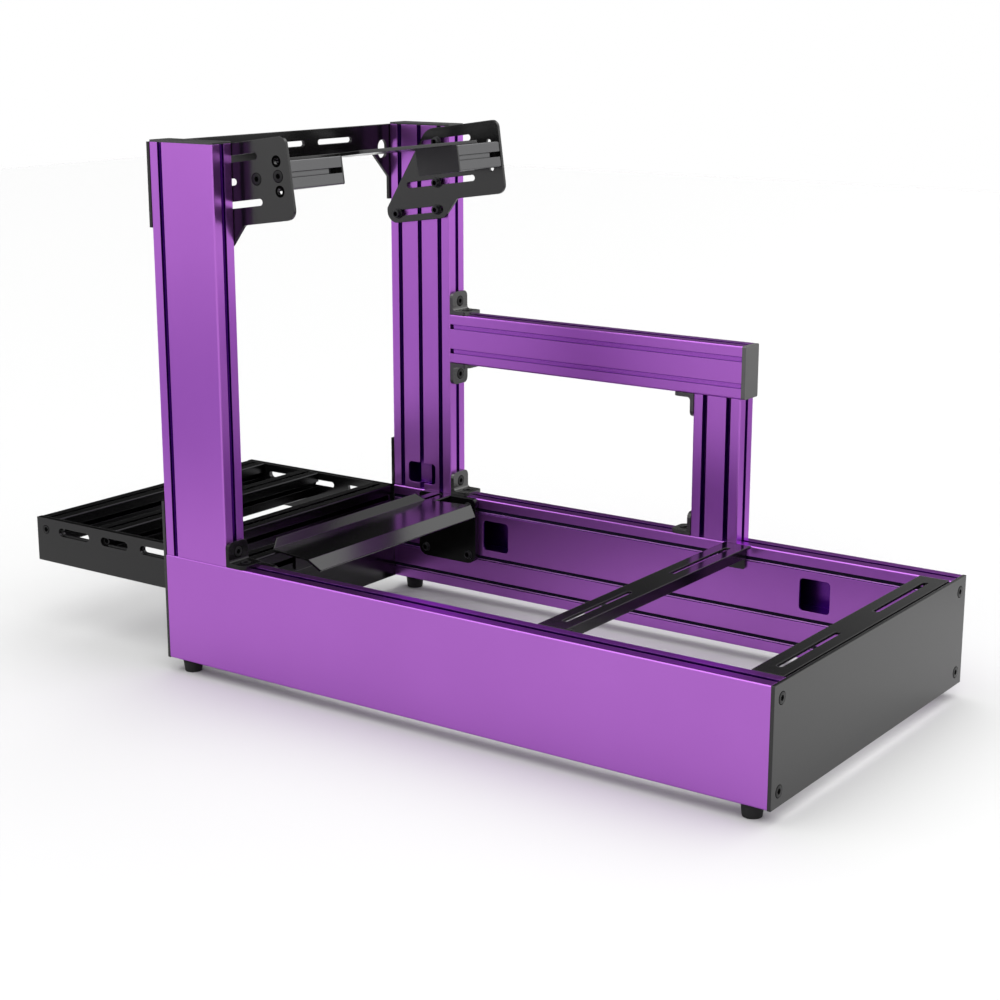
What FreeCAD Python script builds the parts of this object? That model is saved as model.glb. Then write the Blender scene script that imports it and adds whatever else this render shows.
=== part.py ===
import FreeCAD, Part
import math
import os
from FreeCAD import Placement, Vector

# Sim racing cockpit: an open frame of slotted aluminium profile.
# Millimetres. +X points to the driver's seat, +Y to the shifter side, +Z up.
# The origin lies on the floor, in the middle of the frame's length and width.

DOC = FreeCAD.newDocument("sim_racing_cockpit")

# Driving dimensions: name, value, what it is
SIZES = [
    ("module_w", 40, "profile module, the thin side of every profile"),
    ("frame_width", 580, "over the outer faces of the base rails"),
    ("rail_length", 1000, "base rail"),
    ("upright_height", 600, "upright above the rail"),
    ("arm_length", 536.5, "shifter arm behind the upright"),
    ("arm_rise", 220, "underside of the arm above the rail, the post's height"),
    ("corner_round", 2.5, "profile edge radius"),
    ("neck_width", 8.2, "slot mouth"),
    ("lip_depth", 4, "slot lip"),
    ("tee_width", 16, "slot behind the lip"),
    ("shoulder_depth", 7, "where the slot starts to narrow"),
    ("tee_depth", 11.5, "slot floor below the face"),
    ("tee_floor", 9, "slot floor width"),
    ("bore_width", 7, "core bore in every module"),
    ("wall", 3.5, "profile wall"),
    ("chamber_depth", 9, "hollow behind a flat face"),
    ("chamber_width", 18, "hollow behind a flat face"),
    ("web_hollow", 18, "hollow between two modules"),
    ("corner_hollow", 6, "hollow in each corner of a profile"),
    ("cut_over", 1, "how far a pocket runs past its wall"),
    ("window_width", 50, "rail window"),
    ("window_round", 6, "rail window corner"),
    ("window_inset", 211, "rail end to window centre"),
    ("window_hollow", 54, "rail chamber behind the windows"),
    ("foot_window_width", 56, "window at the foot of an upright"),
    ("foot_window_height", 35, "window at the foot of an upright"),
    ("foot_window_rise", 10, "rail top to window"),
    ("plate", 5, "flat plates"),
    ("ear_rise", 80, "front plate ear above the rail"),
    ("front_plate_mid", 115, "front plate between the ears"),
    ("brow_ear", 120, "upper plate at the uprights"),
    ("brow_mid", 46, "upper plate in the middle"),
    ("brow_slant", 38, "upper plate slant, each way"),
    ("brow_ear_over", 3, "upper plate ear past the upright"),
    ("brow_slot_length", 82, "upper plate slot"),
    ("brow_slot_width", 8.5, "upper plate slot"),
    ("brow_slot_pitch", 113.5, "upper plate slot to slot"),
    ("brow_slot_drop", 20, "upper plate top to slot"),
    ("brow_hole_width", 22, "upper plate cable hole"),
    ("brow_hole_height", 30, "upper plate cable hole"),
    ("brow_hole_inset", 19, "upright inner face to upper plate cable hole"),
    ("brow_hole_drop", 39, "upper plate top to cable hole"),
    ("deck_tilt", 8, "wheel deck tilt in degrees, rear up"),
    ("deck_reach", 64.5, "upright rear face to wheel bar centre"),
    ("deck_drop", 44.1, "upright top to wheel bar centre"),
    ("deck_slot_width", 9.5, "wheel side plate slots"),
    ("deck_hole", 9, "wheel side plate screw holes above and below the bar"),
    ("deck_hole_along", 20, "bar centre to those holes, to the rear"),
    ("deck_hole_across", 20.5, "bar centre to those holes, up and down"),
    ("bar_length", 107, "wheel bar without its cap"),
    ("cap_depth", 3, "profile end caps"),
    ("arm_cap_depth", 6.5, "shifter arm end cap"),
    ("wheelbase_width", 410, "wheelbase plate"),
    ("wheelbase_rear", 30.5, "wheelbase plate behind the bar centre"),
    ("wheelbase_front", 78.5, "wheelbase plate before the bar centre"),
    ("wheelbase_cut", 40, "wheelbase plate recess depth"),
    ("wheelbase_cut_width", 125, "wheelbase plate recess width"),
    ("wheelbase_round", 6, "wheelbase plate corners"),
    ("cover_gap", 0.2, "slot cover to slot, each side"),
    ("cover_sink", 1.2, "slot cover below the face"),
    ("cover_depth", 2.4, "slot cover thickness"),
    ("arm_cover_inset", 7, "arm end to slot cover"),
    ("bar_cover_short", 27, "wheel bar slot left open beside its cover"),
    ("bracket_leg", 36, "corner bracket leg"),
    ("bracket_sheet", 6, "corner bracket leg thickness"),
    ("bracket_round", 9, "corner bracket free corners"),
    ("bracket_fillet", 5, "corner bracket inner fillet"),
    ("sheet", 4, "seat crossmember sheet"),
    ("heel_sheet", 3, "heel plate"),
    ("heel_front", 117, "rail front to heel plate front bend"),
    ("heel_depth", 81, "heel plate flat"),
    ("heel_width", 398, "heel plate at its rear bend"),
    ("heel_front_width", 370, "heel plate at its front bend"),
    ("heel_lip_rise", 12.5, "heel plate lip"),
    ("heel_lip_run", 8, "heel plate lip"),
    ("heel_flange_run", 16, "heel plate rear flange, run and drop"),
    ("heel_lip_width", 326, "heel plate lip at its top"),
    ("heel_flange_width", 380, "heel plate flange at its bottom"),
    ("heel_rail_place", 86, "rail front to heel rail"),
    ("heel_leg_drop", 35, "heel plate leg down the rear face of the heel rail"),
    ("heel_leg_width", 300, "heel plate leg"),
    ("heel_side_place", 61, "rail front to heel side plate"),
    ("heel_side_depth", 116, "heel side plate"),
    ("heel_side_height", 110, "heel side plate below the rail top"),
    ("heel_side_round", 16, "heel side plate lower corners"),
    ("heel_side_top_round", 8, "heel side plate upper corners"),
    ("cross_depth", 44, "seat crossmember"),
    ("cross_flange", 16, "seat crossmember rear flange"),
    ("cross_notch", 14, "flange end to rail"),
    ("cross_ear_depth", 30, "seat crossmember ear"),
    ("cross_ear_height", 37, "seat crossmember ear"),
    ("cross_ear_inset", 7, "seat crossmember rear edge to ear"),
    ("cross_ear_round", 4, "seat crossmember ear corners"),
    ("mid_cross_place", 681, "rail front to rear edge of middle crossmember"),
    ("rear_cross_gap", 4, "rear crossmember to rail end"),
    ("seat_slot_length", 168, "seat slot"),
    ("seat_slot_width", 9, "seat slot"),
    ("seat_slot_edge", 28, "rail inner face to the end of the seat slot"),
    ("seat_slot_spread", "=frame_width - 2 * module_w - 2 * seat_slot_edge - seat_slot_length",
     "seat slot centre to seat slot centre"),
    ("pedal_length", 320, "pedal deck before the front plate"),
    ("pedal_height", 70, "pedal deck side plate"),
    ("pedal_plate", 10, "pedal and heel side plate thickness"),
    ("pedal_slot_height", 10, "pedal side plate slots"),
    ("pedal_slot_recess", 14, "recess round those slots for screw heads"),
    ("pedal_slot_sink", 6, "recess depth"),
    ("pedal_slot_drop", 18, "pedal side plate top to slot centre"),
    ("pedal_mid_place", 125, "pedal deck front to middle rail"),
    ("foot_height", 20, "rubber foot"),
    ("foot_width", 28, "rubber foot diameter"),
    ("foot_front_inset", 27, "rail front to foot centre"),
    ("foot_rear_inset", 30, "rail rear to foot centre"),
]

# Modules side by side in each profile, and the rail module that has the windows
RAIL_MODULES = 4
WINDOW_MODULE = 2
UPRIGHT_MODULES = 3
ARM_MODULES = 2

# Small rounds, the closed core bores and the feet are drawn with few sides
ROUND_STEPS = 4
BORE_SIDES = 6
SLOT_STEPS = 8
FOOT_SIDES = 24

# Pedal side plate slots: front and rear end, from the front of the deck
PEDAL_SLOTS = [(49, 117), (143, 202), (228, 313)]

# Wheel side plate about the bar centre, along and across the tilt: x, y, corner radius
WHEEL_PLATE = [
    (41, -61, 15), (41, 53.3, 12), (-99.5, 53.3, 30), (-197.5, -63.5, 6), (-202, -89.7, 19),
    (-84, -89.7, 14), (-54.5, -61, 10),
]
# Wheel side plate slots: front end, rear end, height
WHEEL_SLOTS = [(-113, -14, 31.3), (-152, -14.5, -31.7), (-189, -85, -74.3), (-113, -57.5, 0)]

# Wheelbase plate bolt slots: front end, rear end, side
WHEELBASE_SLOTS = [(-60, -20, 33), (-60, -20, -33), (-60, -20, 100), (-60, -20, -100)]


def build_sheet():
    sheet = DOC.addObject("Spreadsheet::Sheet", "dims")
    for row, (alias, value, note) in enumerate(SIZES, start=1):
        sheet.set("A%d" % row, note)
        sheet.set("B%d" % row, str(value))
        sheet.setAlias("B%d" % row, alias)
    DOC.recompute()
    return sheet


SHEET = build_sheet()


def size(alias):
    return float(SHEET.get(alias))


# Places that several pieces share
HALF = size("frame_width") / 2
INNER = HALF - size("module_w")
TOTAL = size("pedal_length") + 2 * size("plate") + size("rail_length")
FRONT = size("pedal_length") + size("plate") - TOTAL / 2
REAR = FRONT + size("rail_length")
FLOOR = size("foot_height")
RAIL_TOP = FLOOR + RAIL_MODULES * size("module_w")
UPRIGHT_DEPTH = UPRIGHT_MODULES * size("module_w")
UPRIGHT_REAR = FRONT + UPRIGHT_DEPTH
UPRIGHT_TOP = RAIL_TOP + size("upright_height")
ARM_BOTTOM = RAIL_TOP + size("arm_rise")
ARM_HEIGHT = ARM_MODULES * size("module_w")
ARM_REAR = UPRIGHT_REAR + size("arm_length")
SIDES = {"left": -1, "right": 1}


# Placement whose local axes point along the given directions
def frame_at(origin, local_x, local_y):
    x = Vector(*local_x).normalize()
    y = Vector(*local_y).normalize()
    z = x.cross(y)
    rows = (x.x, y.x, z.x, origin[0], x.y, y.y, z.y, origin[1], x.z, y.z, z.z, origin[2])
    return Placement(FreeCAD.Matrix(*rows, 0, 0, 0, 1))


def new_body(label):
    body = DOC.addObject("PartDesign::Body", label)
    body.Label = label
    return body


def new_sketch(body, role="XY_Plane", offset=0):
    sketch = body.newObject("Sketcher::SketchObject", body.Label + "_sketch")
    plane = [f for f in body.Origin.OriginFeatures if f.Role == role][0]
    sketch.AttachmentSupport = [(plane, "")]
    sketch.MapMode = "FlatFace"
    sketch.AttachmentOffset = Placement(Vector(0, 0, offset), FreeCAD.Rotation())
    return sketch


# Closed outline of lines. A corner with a radius gets an arc, or chords where steps are given.
def outline(sketch, corners, steps=None):
    count = len(corners)
    ends = []
    for i in range(count):
        before = Vector(*corners[i - 1][:2], 0)
        here = Vector(*corners[i][:2], 0)
        after = Vector(*corners[(i + 1) % count][:2], 0)
        radius = corners[i][2] if len(corners[i]) > 2 else 0
        ends.append(corner_points(before, here, after, radius, steps))
    edges = []
    for i in range(count):
        if steps is None and len(ends[i]) == 3:
            edges.append(Part.Arc(*ends[i]))
        else:
            edges += [Part.LineSegment(a, b) for a, b in zip(ends[i], ends[i][1:])]
        edges.append(Part.LineSegment(ends[i][-1], ends[(i + 1) % count][0]))
    sketch.addGeometry(edges, False)


# Points of a rounded corner from tangent point to tangent point, or the corner itself
def corner_points(before, here, after, radius, steps):
    if radius <= 0:
        return [here]
    to_before = (before - here).normalize()
    to_after = (after - here).normalize()
    half = to_before.getAngle(to_after) / 2
    centre = here + (to_before + to_after).normalize() * (radius / math.sin(half))
    first = here + to_before * (radius / math.tan(half)) - centre
    turn = math.pi - 2 * half
    if first.cross(here - centre).z < 0:
        turn = -turn
    parts = steps or 2
    return [centre + turned(first, turn * i / parts) for i in range(parts + 1)]


def turned(vector, angle):
    cos = math.cos(angle)
    sin = math.sin(angle)
    return Vector(vector.x * cos - vector.y * sin, vector.x * sin + vector.y * cos, 0)


def circle(sketch, x, y, diameter):
    sketch.addGeometry(Part.Circle(Vector(x, y, 0), Vector(0, 0, 1), diameter / 2), False)


def polygon(sketch, x, y, diameter, sides):
    arm = Vector(diameter / 2, 0, 0)
    corners = [Vector(x, y, 0) + turned(arm, 2 * math.pi * i / sides) for i in range(sides)]
    outline(sketch, [(c.x, c.y) for c in corners])


def rectangle(sketch, x0, y0, x1, y1, radius=0, steps=None):
    corners = [(x0, y0, radius), (x1, y0, radius), (x1, y1, radius), (x0, y1, radius)]
    outline(sketch, corners, steps)


# Slot with round ends between its outermost points; the ends are chords where steps are given
def long_slot(sketch, start, stop, width, steps=None):
    radius = width / 2
    first = Vector(*start, 0)
    last = Vector(*stop, 0)
    ahead = (last - first).normalize() * radius
    side = turned(ahead, math.pi / 2)
    first_centre = first + ahead
    last_centre = last - ahead
    if steps:
        ends = [(last_centre, -side), (first_centre, side)]
        points = [centre + turned(arm, math.pi * i / steps)
                  for centre, arm in ends for i in range(steps + 1)]
        outline(sketch, [(p.x, p.y) for p in points])
        return
    edges = [
        Part.LineSegment(first_centre - side, last_centre - side),
        Part.Arc(last_centre - side, last, last_centre + side),
        Part.LineSegment(last_centre + side, first_centre + side),
        Part.Arc(first_centre + side, first, first_centre - side),
    ]
    sketch.addGeometry(edges, False)


# Closed outline of a bent sheet: its upper line, and the same line a thickness below
def bent_sheet(points, thickness):
    normals = []
    for a, b in zip(points, points[1:]):
        along = Vector(b[0] - a[0], b[1] - a[1], 0).normalize()
        normals.append(Vector(along.y, -along.x, 0))
    under = []
    for i, point in enumerate(points):
        one = normals[max(i - 1, 0)]
        two = normals[min(i, len(normals) - 1)]
        mitre = (one + two) * (thickness / (1 + one.dot(two)))
        under.append((point[0] + mitre.x, point[1] + mitre.y))
    return points + under[::-1]


def pad(body, sketch, length, reverse=False, both=False):
    feature = body.newObject("PartDesign::Pad", body.Label + "_pad")
    feature.Profile = sketch
    feature.setExpression("Length", length)
    feature.Reversed = reverse
    feature.Midplane = both
    sketch.Visibility = False
    DOC.recompute()
    return feature


def pocket(body, sketch, length=None, reverse=False):
    before = body.Shape.Volume
    feature = body.newObject("PartDesign::Pocket", body.Label + "_pocket")
    feature.Profile = sketch
    if length is None:
        feature.Type = "ThroughAll"
        feature.Midplane = True
    else:
        feature.setExpression("Length", length)
        feature.Reversed = reverse
    DOC.recompute()
    if body.Shape.Volume > before - 1:
        raise RuntimeError(body.Label + ": the pocket cut nothing")
    return feature


# Corners of one slot, walked along a face: start, face direction, inward direction
def slot_corners(mouth, along, inward):
    half_neck = size("neck_width") / 2
    half_tee = size("tee_width") / 2
    half_floor = size("tee_floor") / 2
    lip = size("lip_depth")
    shoulder = size("shoulder_depth")
    floor = size("tee_depth")
    steps = [(-half_neck, 0), (-half_neck, lip), (-half_tee, lip), (-half_tee, shoulder),
             (-half_floor, floor), (half_floor, floor), (half_tee, shoulder),
             (half_tee, lip), (half_neck, lip), (half_neck, 0)]
    return [(mouth[0] + a * along[0] + d * inward[0],
             mouth[1] + a * along[1] + d * inward[1]) for a, d in steps]


# Profile section: x runs over the modules, y from the slotted face to the back face
def profile_section(sketch, modules, slotted, back, window=None):
    unit = size("module_w")
    width = modules * unit
    centres = [unit * (i + 0.5) for i in range(modules)]
    edge = size("corner_round")
    corners = [(0, 0, edge)]
    for i in slotted:
        corners += slot_corners((centres[i], 0), (1, 0), (0, 1))
    corners.append((width, 0, edge))
    corners += slot_corners((width, unit / 2), (0, 1), (-1, 0))
    corners.append((width, unit, edge))
    for i in reversed(back):
        corners += slot_corners((centres[i], unit), (-1, 0), (0, -1))
    corners.append((0, unit, edge))
    corners += slot_corners((0, unit / 2), (0, -1), (1, 0))
    outline(sketch, corners, ROUND_STEPS)
    corner_hollows(sketch, width)
    module_hollows(sketch, centres, back, window)


def corner_hollows(sketch, width):
    wall = size("wall")
    leg = size("corner_hollow")
    for x, x_sign in ((wall, 1), (width - wall, -1)):
        for y, y_sign in ((wall, 1), (size("module_w") - wall, -1)):
            outline(sketch, [(x, y), (x + x_sign * leg, y), (x, y + y_sign * leg)])


# Bore in every module, a chamber behind each flat face and a hollow between two modules
def module_hollows(sketch, centres, back, window):
    unit = size("module_w")
    deep = unit - size("wall")
    for i, centre in enumerate(centres):
        if i == window:
            half = size("window_hollow") / 2
            rectangle(sketch, centre - half, size("wall"), centre + half, deep)
            continue
        polygon(sketch, centre, unit / 2, size("bore_width"), BORE_SIDES)
        if i not in back:
            half = size("chamber_width") / 2
            rectangle(sketch, centre - half, deep - size("chamber_depth"), centre + half, deep)
    for i in range(1, len(centres)):
        if window in (i - 1, i):
            continue
        half = size("web_hollow") / 2
        rectangle(sketch, i * unit - half, size("wall"), i * unit + half, deep)


def profile(label, length, modules, slotted, back, place, window=None):
    body = new_body(label)
    sketch = new_sketch(body)
    profile_section(sketch, modules, slotted, back, window)
    pad(body, sketch, length)
    body.Placement = place
    return body


def flat_plate(label, corners, place, slots=(), holes=(), thickness="dims.plate", steps=None):
    body = new_body(label)
    sketch = new_sketch(body)
    outline(sketch, corners, steps)
    for start, stop, width in slots:
        long_slot(sketch, start, stop, width)
    for x, y, diameter in holes:
        circle(sketch, x, y, diameter)
    pad(body, sketch, thickness)
    body.Placement = place
    return body


# Base rails: slots inside and on the narrow faces, flat outside, two windows inside
def base_rails():
    slotted = [i for i in range(RAIL_MODULES) if i != WINDOW_MODULE]
    half = size("window_width") / 2
    centre = size("module_w") * (WINDOW_MODULE + 0.5)
    for side in SIDES:
        body = profile("base_rail_" + side, "dims.rail_length", RAIL_MODULES, slotted, [],
                       rail_place(side), window=WINDOW_MODULE)
        sketch = new_sketch(body, "XZ_Plane")
        for along in (size("window_inset"), size("rail_length") - size("window_inset")):
            rectangle(sketch, centre - half, along - half, centre + half, along + half,
                      size("window_round"), ROUND_STEPS)
        pocket(body, sketch, "dims.wall + dims.cut_over")
        strips = [slot_strip(size("module_w") * (i + 0.5)) for i in slotted]
        cover_strips("rail_slot_covers_" + side, strips, "dims.rail_length", rail_place(side))


def rail_place(side):
    sign = SIDES[side]
    start = FRONT if sign < 0 else REAR
    return frame_at((start, sign * INNER, FLOOR), (0, 0, 1), (0, sign, 0))


# Section of a slot cover in a face that lies along the section's x
def slot_strip(centre):
    half = size("neck_width") / 2 - size("cover_gap")
    sink = size("cover_sink")
    return (centre - half, sink, centre + half, sink + size("cover_depth"))


# Strips that close slots, one solid in each slot mouth
def cover_strips(label, strips, length, place):
    body = new_body(label)
    body.AllowCompound = True
    sketch = new_sketch(body)
    for strip in strips:
        rectangle(sketch, *strip)
    pad(body, sketch, length)
    body.Placement = place


def uprights():
    for side, sign in SIDES.items():
        low = RAIL_TOP if sign > 0 else UPRIGHT_TOP
        place = frame_at((FRONT, sign * INNER, low), (1, 0, 0), (0, sign, 0))
        body = profile("upright_" + side, "dims.upright_height", UPRIGHT_MODULES,
                       range(UPRIGHT_MODULES), [0], place)
        sketch = new_sketch(body, "XZ_Plane")
        half = size("foot_window_width") / 2
        base = size("foot_window_rise")
        top = base + size("foot_window_height")
        if sign < 0:
            base, top = size("upright_height") - top, size("upright_height") - base
        rectangle(sketch, UPRIGHT_DEPTH / 2 - half, base, UPRIGHT_DEPTH / 2 + half, top,
                  size("window_round"), ROUND_STEPS)
        pocket(body, sketch, "dims.tee_depth + dims.cut_over")
        end_cap("upright_cap_" + side, UPRIGHT_DEPTH,
                frame_at((FRONT, min(sign * INNER, sign * HALF), UPRIGHT_TOP),
                         (1, 0, 0), (0, 1, 0)))


def end_cap(label, width, place, depth="dims.cap_depth"):
    edge = size("corner_round")
    unit = size("module_w")
    corners = [(0, 0, edge), (width, 0, edge), (width, unit, edge), (0, unit, edge)]
    flat_plate(label, corners, place, thickness=depth, steps=ROUND_STEPS)


def end_plates():
    rail = RAIL_TOP - FLOOR
    ear = rail + size("ear_rise")
    mid = size("front_plate_mid")
    corners = [(-HALF, 0), (HALF, 0), (HALF, ear), (INNER, ear), (INNER, mid), (-INNER, mid),
               (-INNER, ear), (-HALF, ear)]
    place = frame_at((FRONT - size("plate"), 0, FLOOR), (0, 1, 0), (0, 0, 1))
    flat_plate("front_end_plate", corners, place)
    corners = [(-HALF, 0), (HALF, 0), (HALF, rail), (-HALF, rail)]
    flat_plate("rear_end_plate", corners, frame_at((REAR, 0, FLOOR), (0, 1, 0), (0, 0, 1)))


# Plate across the front of the uprights, with an ear down each
def upper_plate():
    ear = size("brow_ear")
    mid = size("brow_mid")
    slant = size("brow_slant")
    inside = INNER - size("brow_ear_over")
    half = [(HALF, 0), (HALF, -ear), (inside, -ear), (inside, -mid - slant),
            (inside - slant, -mid)]
    corners = half + [(-x, y) for x, y in reversed(half)]
    drop = -size("brow_slot_drop")
    long = size("brow_slot_length") / 2
    pitch = size("brow_slot_pitch")
    slots = [((i * pitch - long, drop), (i * pitch + long, drop), size("brow_slot_width"))
             for i in (-1, 0, 1)]
    half_high = size("brow_hole_height") / 2
    for sign in (-1, 1):
        x = sign * (INNER - size("brow_hole_inset"))
        y = -size("brow_hole_drop")
        slots.append(((x, y - half_high), (x, y + half_high), size("brow_hole_width")))
    place = frame_at((FRONT - size("plate"), 0, UPRIGHT_TOP), (0, 1, 0), (0, 0, 1))
    flat_plate("upper_cross_plate", corners, place, slots)


# Wheel deck: everything turned about the bar centre by the tilt
def deck_frame(y, along=0, across=0, flip=False):
    tilt = math.radians(size("deck_tilt"))
    x = UPRIGHT_REAR + size("deck_reach")
    z = UPRIGHT_TOP - size("deck_drop")
    x += along * math.cos(tilt) - across * math.sin(tilt)
    z += along * math.sin(tilt) + across * math.cos(tilt)
    lengthwise = (math.cos(tilt), 0, math.sin(tilt))
    up = (-math.sin(tilt), 0, math.cos(tilt))
    down = (math.sin(tilt), 0, -math.cos(tilt))
    return frame_at((x, y, z), lengthwise, down if flip else up)


def wheel_deck():
    slots = [((x0, y), (x1, y), size("deck_slot_width")) for x0, x1, y in WHEEL_SLOTS]
    holes = [(size("deck_hole_along"), sign * size("deck_hole_across"), size("deck_hole"))
             for sign in (-1, 1)]
    plate = size("plate")
    for side, sign in SIDES.items():
        near_y = INNER if sign > 0 else plate - INNER
        flat_plate("wheel_side_plate_" + side, WHEEL_PLATE, deck_frame(near_y), slots, holes)
        inside = INNER - plate
        start = inside - size("bar_length") if sign > 0 else -inside
        wheel_bar(side, start, start - size("cap_depth") if sign > 0
                  else start + size("bar_length"))
    wheelbase_plate()


# Bar of the wheel deck, slotted on every face, with a cover in its rear slot
def wheel_bar(side, start, cap_start):
    unit = size("module_w")
    place = deck_frame(start, -ARM_HEIGHT / 2, unit / 2, flip=True)
    profile("wheel_bar_" + side, "dims.bar_length", ARM_MODULES, range(ARM_MODULES),
            range(ARM_MODULES), place)
    x0, y0, x1, y1 = slot_strip(unit / 2)
    rear = (ARM_HEIGHT - y1, x0, ARM_HEIGHT - y0, x1)
    cover_strips("wheel_bar_cover_" + side, [rear], "dims.bar_length - dims.bar_cover_short",
                 place)
    end_cap("wheel_bar_cap_" + side, ARM_HEIGHT,
            deck_frame(cap_start, -ARM_HEIGHT / 2, unit / 2, flip=True))


def wheelbase_plate():
    half = size("wheelbase_width") / 2
    rear = size("wheelbase_rear")
    front = -size("wheelbase_front")
    step = rear - size("wheelbase_cut")
    cut = size("wheelbase_cut_width") - half
    edge = size("wheelbase_round")
    corners = [(front, -half, edge), (step, -half, edge), (step, cut), (rear, cut, edge),
               (rear, half, edge), (front, half, edge)]
    slots = [((x0, y), (x1, y), size("deck_slot_width")) for x0, x1, y in WHEELBASE_SLOTS]
    deck = deck_frame(0, 0, size("module_w") / 2)
    lengthwise = deck.Rotation.multVec(Vector(1, 0, 0))
    flat_plate("wheelbase_plate", corners, frame_at(deck.Base, lengthwise, (0, 1, 0)), slots)


def shifter_arm():
    place = frame_at((ARM_REAR, INNER, ARM_BOTTOM), (0, 0, 1), (0, 1, 0))
    profile("shifter_arm", "dims.arm_length", ARM_MODULES, range(ARM_MODULES), [], place)
    strips = [slot_strip(size("module_w") * (i + 0.5)) for i in range(ARM_MODULES)]
    cover_strips("shifter_arm_covers", strips, "dims.arm_length - dims.arm_cover_inset", place)
    end_cap("shifter_arm_cap", ARM_HEIGHT,
            frame_at((ARM_REAR, HALF, ARM_BOTTOM), (0, 0, 1), (0, -1, 0)), "dims.arm_cap_depth")
    place = frame_at((ARM_REAR - ARM_HEIGHT, INNER, RAIL_TOP), (1, 0, 0), (0, 1, 0))
    profile("shifter_post", "dims.arm_rise", ARM_MODULES, range(ARM_MODULES), [], place)


# Corner bracket: a leg along local x and one along local y, filleted where they meet
def bracket(label, corner, local_x, local_y):
    body = new_body(label)
    leg = size("bracket_leg")
    thick = size("bracket_sheet")
    half = size("module_w") / 2
    edge = size("bracket_round")
    fillet = size("bracket_fillet")
    reach = 2 * thick
    root = new_sketch(body)
    outline(root, [(0, 0), (reach, 0), (reach, thick), (thick, thick, fillet),
                   (thick, reach), (0, reach)])
    pad(body, root, "dims.module_w", both=True)
    flat_leg = new_sketch(body, "XZ_Plane")
    outline(flat_leg, [(0, -half), (leg, -half, edge), (leg, half, edge), (0, half)], ROUND_STEPS)
    pad(body, flat_leg, "dims.bracket_sheet", reverse=True)
    tall_leg = new_sketch(body, "YZ_Plane")
    outline(tall_leg, [(0, -half), (leg, -half, edge), (leg, half, edge), (0, half)], ROUND_STEPS)
    pad(body, tall_leg, "dims.bracket_sheet")
    body.Placement = frame_at(corner, local_x, local_y)


def brackets():
    middle = HALF - size("module_w") / 2
    for side, sign in SIDES.items():
        bracket("upright_bracket_" + side, (UPRIGHT_REAR, sign * middle, RAIL_TOP),
                (1, 0, 0), (0, 0, 1))
    arm_top = ARM_BOTTOM + ARM_HEIGHT
    bracket("arm_bracket_upper", (UPRIGHT_REAR, middle, arm_top), (1, 0, 0), (0, 0, 1))
    bracket("arm_bracket_lower", (UPRIGHT_REAR, middle, ARM_BOTTOM), (1, 0, 0), (0, 0, -1))
    post_front = ARM_REAR - ARM_HEIGHT
    bracket("post_bracket_upper", (post_front, middle, ARM_BOTTOM), (-1, 0, 0), (0, 0, -1))
    bracket("post_bracket_lower", (post_front, middle, RAIL_TOP), (-1, 0, 0), (0, 0, 1))


# Heel plate: lip up at the front, flat, flange down at the rear, corners cut back, and a leg
# down the rear face of the heel rail
def heel_plate():
    body = new_body("heel_plate")
    thick = size("heel_sheet")
    flat = size("heel_depth")
    lip_x = -size("heel_lip_run")
    lip_z = size("heel_lip_rise")
    run = size("heel_flange_run")
    sketch = new_sketch(body, "XZ_Plane")
    top = [(lip_x, lip_z), (0, 0), (flat, 0), (flat + run, -run)]
    outline(sketch, bent_sheet(top, thick))
    pad(body, sketch, "dims.heel_width", both=True)
    leg = new_sketch(body, "XZ_Plane")
    leg_x = size("heel_rail_place") + size("module_w") - size("heel_front")
    rectangle(leg, leg_x, -thick - size("heel_leg_drop"), leg_x + thick, -thick)
    pad(body, leg, "dims.heel_leg_width", both=True)
    trim = new_sketch(body)
    wide = size("heel_width") / 2
    points = [(lip_x - thick, size("heel_lip_width") / 2),
              (0, size("heel_front_width") / 2),
              (flat, wide), (flat + run, size("heel_flange_width") / 2)]
    margin = 2 * thick
    for sign in (-1, 1):
        ring = [(x, sign * y) for x, y in points]
        ring += [(flat + run + margin, sign * points[-1][1]),
                 (flat + run + margin, sign * (wide + margin)),
                 (lip_x - margin, sign * (wide + margin)),
                 (lip_x - margin, sign * points[0][1])]
        outline(trim, ring)
    pocket(body, trim)
    body.Placement = frame_at((FRONT + size("heel_front"), 0, RAIL_TOP + thick),
                              (1, 0, 0), (0, 1, 0))


# Heel support: a cross rail between two side plates on the base rails
def heel_support():
    low = -size("heel_side_height")
    deep = size("heel_side_depth")
    edge = size("heel_side_round")
    top_edge = size("heel_side_top_round")
    corners = [(0, low, edge), (deep, low, edge), (deep, 0, top_edge), (0, 0, top_edge)]
    for side in SIDES:
        place = side_place(side, FRONT + size("heel_side_place"), RAIL_TOP)
        flat_plate("heel_side_plate_" + side, corners, place, thickness="dims.pedal_plate",
                   steps=ROUND_STEPS)
    cross_rail("heel_rail", FRONT + size("heel_rail_place"))


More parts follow.
